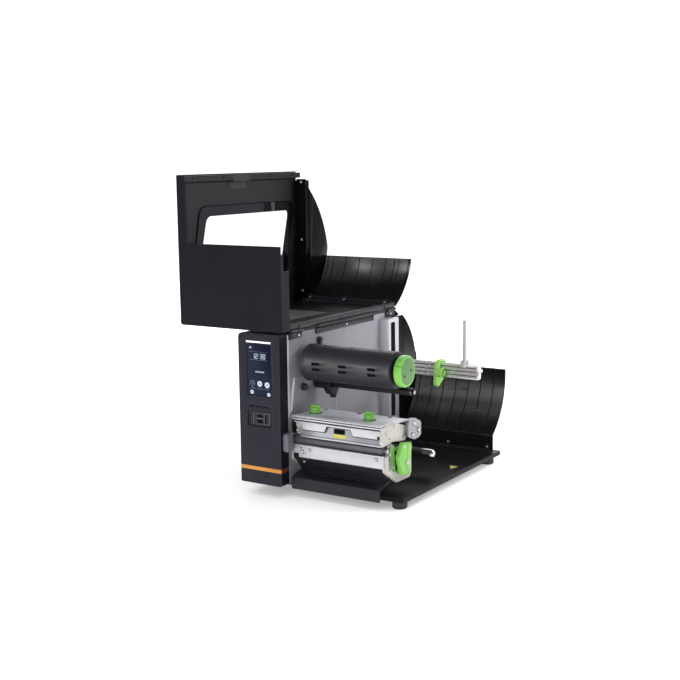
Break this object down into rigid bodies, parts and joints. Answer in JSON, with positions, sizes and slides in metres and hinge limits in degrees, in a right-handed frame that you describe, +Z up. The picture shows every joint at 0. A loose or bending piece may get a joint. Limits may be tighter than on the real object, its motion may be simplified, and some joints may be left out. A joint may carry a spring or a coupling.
{
  "type": "label maker",
  "caption": "Industrial label printer with control column, side-mounted label roll spindle, ribbon spindle and print head, and a windowed media cover hinged on the top edge.",
  "frame": {"origin": "on the table, under the middle of the bounding box with the cover open", "axes": "+Z up; +X from the control column towards the open media side; +Y from the front, where labels come out, to the round back"},
  "size_m": [0.447, 0.48, 0.5775],
  "materials": {
    "charcoal_paint": "matte charcoal powder coat on folded steel",
    "grey_paint": "light grey satin paint on the centre plate",
    "gloss_black_plastic": "glossy black moulded plastic",
    "satin_black_plastic": "satin black moulded plastic",
    "charcoal_plastic": "matte charcoal moulded plastic",
    "black_steel": "satin black coated steel",
    "zinc_steel": "bright zinc plated sheet steel",
    "casting": "bead-blasted die casting",
    "chrome": "polished",
    "green_plastic": "bright green moulded plastic, semi-gloss",
    "platen_rubber": "ground rubber sleeve",
    "foot_rubber": "matte",
    "belt_rubber": "matte",
    "grey_plastic": "blue-grey moulded plastic",
    "orange_plastic": "satin orange insert",
    "screen": "dark touch screen behind a clear front",
    "light_bar": "translucent white light guide",
    "smoked_pane": "smoked clear plastic pane",
    "circuit_board": "green solder resist",
    "white_plastic": "pale moulded plastic"
  },
  "bodies": {
    "chassis": {"base_plate": "charcoal_paint", "foot_front_left": "foot_rubber", "foot_front_right": "foot_rubber", "foot_rear_left": "foot_rubber", "foot_rear_right": "foot_rubber", "center_plate": "grey_paint", "housing_cover": "charcoal_paint", "rear_panel": "charcoal_paint", "power_inlet": "satin_black_plastic", "port_block": "zinc_steel", "front_column": "charcoal_plastic", "accent_strip": "orange_plastic", "display_panel": "screen", "status_light": "light_bar", "usb_bay": "satin_black_plastic", "main_board": "circuit_board", "power_supply": "zinc_steel", "drive_motor": "black_steel", "drive_belt": "belt_rubber", "inner_rear_wall": "gloss_black_plastic", "lower_rear_shell": "gloss_black_plastic", "spindle_bracket": "zinc_steel", "supply_spindle": "chrome", "ribbon_roller_bracket": "satin_black_plastic", "mechanism_frame_left": "casting", "mechanism_frame_right": "casting", "lower_front_plate": "zinc_steel", "media_tray": "charcoal_paint", "platen_end_cap": "grey_plastic", "media_guide_bar": "satin_black_plastic", "head_pivot": "casting", "hinge_leaf_front": "black_steel", "hinge_leaf_rear": "black_steel", "hinge_cover_strip": "black_steel", "hinge_pin": "black_steel"},
    "media_cover": {"cover_front": "charcoal_paint", "cover_top": "charcoal_paint", "cover_side": "charcoal_paint", "cover_window": "smoked_pane", "cover_end_wall": "gloss_black_plastic", "cover_rear_shell": "gloss_black_plastic", "cover_hinge_leaf": "black_steel", "cover_grip": "satin_black_plastic"},
    "print_head": {"head_top_plate": "zinc_steel", "head_cover_plate": "zinc_steel", "head_carrier": "zinc_steel", "head_side_plate": "casting", "printhead": "chrome"},
    "left_knob": {"pressure_knob_left": "green_plastic"},
    "right_knob": {"pressure_knob_right": "green_plastic"},
    "release_lever": {"head_lever": "green_plastic"},
    "platen": {"platen_roller": "platen_rubber", "platen_pulley": "white_plastic"},
    "motor_drive": {"motor_pulley": "chrome"},
    "ribbon": {"ribbon_spindle": "satin_black_plastic", "ribbon_knob": "green_plastic"},
    "guide_roller": {"ribbon_roller": "satin_black_plastic"},
    "guard": {"roll_guard": "green_plastic"},
    "stop_rod": {"roll_stop_rod": "white_plastic"},
    "rocker": {"power_switch": "gloss_black_plastic"}
  },
  "joints": [
    {"name": "cover_hinge", "type": "hinge", "parent": "chassis", "child": "media_cover", "pos_m": [0.003, -0.029, 0.2995], "axis": [0, 1, 0], "range_deg": [0, 180]},
    {"name": "head_tilt", "type": "hinge", "parent": "chassis", "child": "print_head", "pos_m": [0.0955, -0.097, 0.1235], "axis": [1, 0, 0], "range_deg": [-15, 0]},
    {"name": "left_knob_turn", "type": "hinge", "parent": "print_head", "child": "left_knob", "pos_m": [0.0235, -0.163, 0.1535], "axis": [0, 0, 1], "range_deg": [0, 160]},
    {"name": "right_knob_turn", "type": "hinge", "parent": "print_head", "child": "right_knob", "pos_m": [0.1395, -0.166, 0.1535], "axis": [0, 0, 1], "range_deg": [0, 160]},
    {"name": "lever_turn", "type": "hinge", "parent": "chassis", "child": "release_lever", "pos_m": [0.2015, -0.149, 0.0755], "axis": [1, 0, 0], "range_deg": [0, 50]},
    {"name": "platen_spin", "type": "hinge", "parent": "chassis", "child": "platen", "pos_m": [0.0945, -0.196, 0.103], "axis": [1, 0, 0], "continuous": true},
    {"name": "motor_spin", "type": "hinge", "parent": "chassis", "child": "motor_drive", "pos_m": [-0.0235, -0.127, 0.0735], "axis": [1, 0, 0], "continuous": true},
    {"name": "ribbon_spin", "type": "hinge", "parent": "chassis", "child": "ribbon", "pos_m": [0.1035, -0.1595, 0.2395], "axis": [1, 0, 0], "continuous": true},
    {"name": "guide_roller_spin", "type": "hinge", "parent": "chassis", "child": "guide_roller", "pos_m": [0.1185, -0.122, 0.196], "axis": [1, 0, 0], "continuous": true},
    {"name": "guard_slide", "type": "slide", "parent": "chassis", "child": "guard", "axis": [1, 0, 0], "range_m": [-0.098, 0.012]},
    {"name": "stop_rod_fold", "type": "hinge", "parent": "chassis", "child": "stop_rod", "pos_m": [0.1785, 0.128, 0.2098], "axis": [0, 1, 0], "range_deg": [-70, 0]},
    {"name": "rocker_tip", "type": "hinge", "parent": "chassis", "child": "rocker", "pos_m": [-0.0375, 0.164, 0.0505], "axis": [1, 0, 0], "range_deg": [0, 12]}
  ],
  "couplings": [
    {"joint": "motor_spin", "follows": "platen_spin", "ratio": 2.5}
  ]
}
